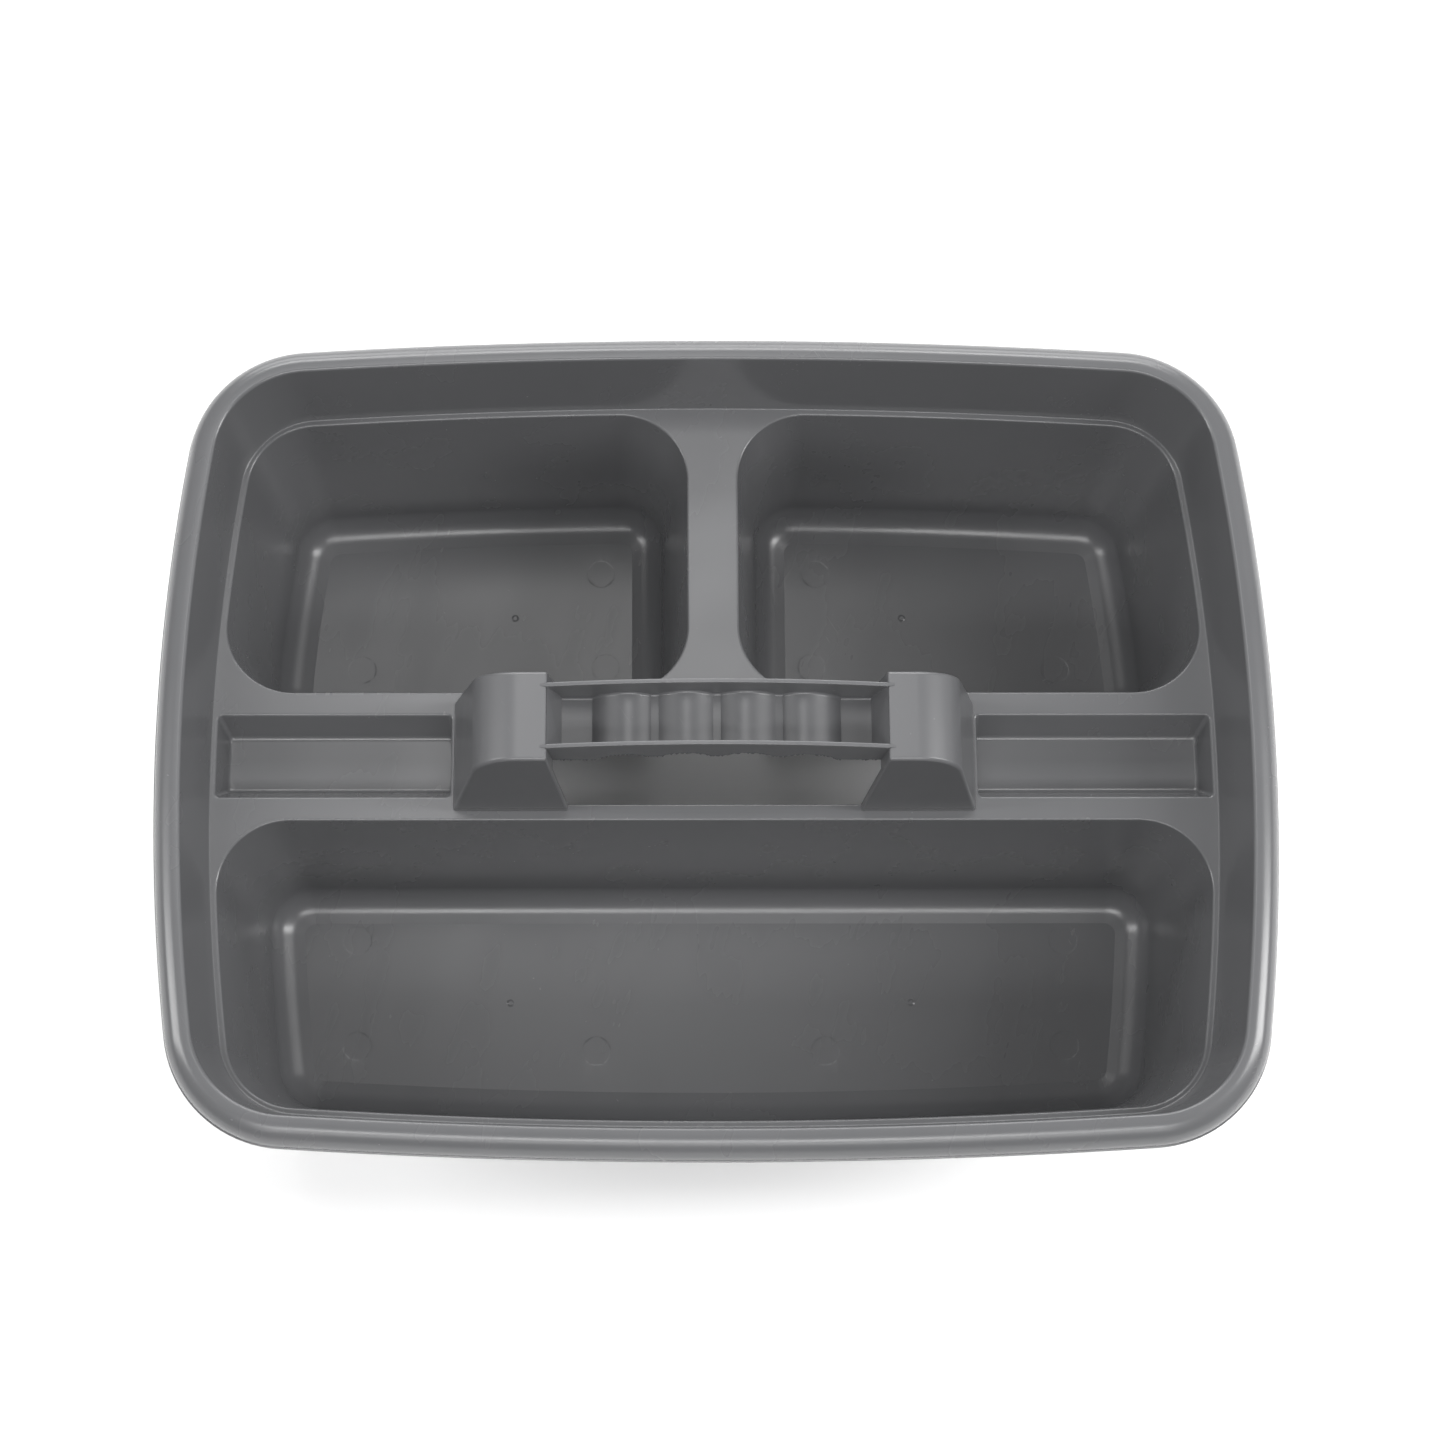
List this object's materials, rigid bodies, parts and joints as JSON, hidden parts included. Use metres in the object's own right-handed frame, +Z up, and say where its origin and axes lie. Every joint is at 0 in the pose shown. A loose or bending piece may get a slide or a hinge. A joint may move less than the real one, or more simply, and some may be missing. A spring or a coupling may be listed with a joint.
{
  "type": "cleaning caddy",
  "caption": "Open carry tray with a rounded rim, three deep compartments, two shallow tool troughs and a fixed central handle with a finger grip.",
  "frame": {"origin": "bottom centre of the bounding box, on the surface the caddy stands on", "axes": "+X to the right along the long side, +Y to the rear, towards the two small compartments, +Z up"},
  "size_m": [0.404, 0.306, 0.1512],
  "materials": {
    "grey_polypropylene": "moulded satin to semi-gloss grey, lightly scuffed"
  },
  "bodies": {
    "root": {"rim": "grey_polypropylene", "tray_wall": "grey_polypropylene", "deck": "grey_polypropylene", "front_compartment": "grey_polypropylene", "rear_left_compartment": "grey_polypropylene", "rear_right_compartment": "grey_polypropylene", "left_tool_trough": "grey_polypropylene", "right_tool_trough": "grey_polypropylene", "left_handle_post": "grey_polypropylene", "right_handle_post": "grey_polypropylene", "handle_grip": "grey_polypropylene"}
  },
  "joints": []
}
